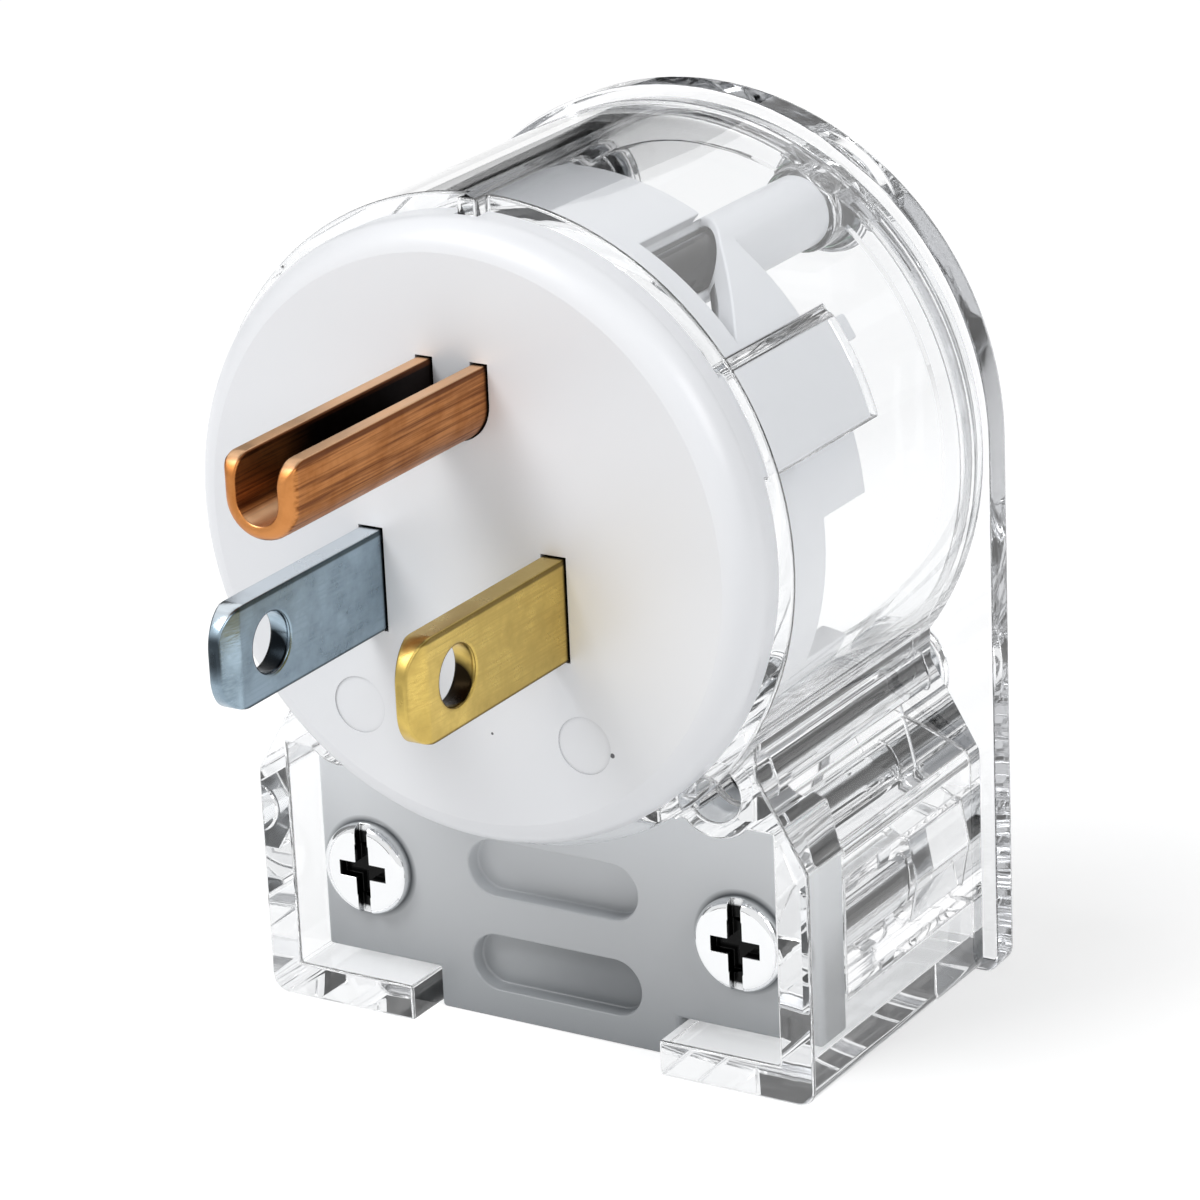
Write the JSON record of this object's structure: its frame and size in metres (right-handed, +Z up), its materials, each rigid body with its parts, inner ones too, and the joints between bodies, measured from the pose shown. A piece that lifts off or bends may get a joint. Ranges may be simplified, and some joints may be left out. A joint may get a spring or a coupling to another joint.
{
  "type": "type b plug",
  "caption": "Right-angle type B plug with flat blades and a U-shaped ground pin in a clear body, with a white front and a screwed cord clamp plate.",
  "frame": {"origin": "centre of the round plug face, on its flat front", "axes": "-Y out of the plug face along the blades, +Z up from the cord end to the ground pin, +X to the hot blade"},
  "size_m": [0.0412, 0.0501, 0.0557],
  "materials": {
    "clear_body": "clear, polished polycarbonate",
    "white_nylon": "smooth white nylon",
    "clamp_nylon": "satin, slightly milky white nylon",
    "brass": "rolled brass, satin",
    "nickel": "nickel-plated brass, fine brushed",
    "bronze": "copper-coloured bronze, satin",
    "plated_steel": "bright nickel plating",
    "green_steel": "green-tinted zinc plating"
  },
  "bodies": {
    "root": {"housing": "clear_body", "back_cover": "clear_body", "dead_front": "white_nylon", "terminal_block": "white_nylon", "cord_clamp": "clamp_nylon", "hot_blade": "brass", "neutral_blade": "nickel", "ground_pin": "bronze", "terminal_screw_hot": "brass", "wire_clamp_hot": "plated_steel", "terminal_nut_hot": "brass", "terminal_screw_neutral": "plated_steel", "wire_clamp_neutral": "plated_steel", "terminal_nut_neutral": "plated_steel", "terminal_screw_ground": "green_steel", "wire_clamp_ground": "plated_steel", "terminal_nut_ground": "plated_steel", "clamp_screw_left": "plated_steel", "clamp_nut_left": "plated_steel", "clamp_screw_right": "plated_steel", "clamp_nut_right": "plated_steel", "assembly_screw_upper_left": "plated_steel", "assembly_screw_upper_right": "plated_steel", "assembly_screw_lower_left": "plated_steel", "assembly_screw_lower_right": "plated_steel"}
  },
  "joints": []
}
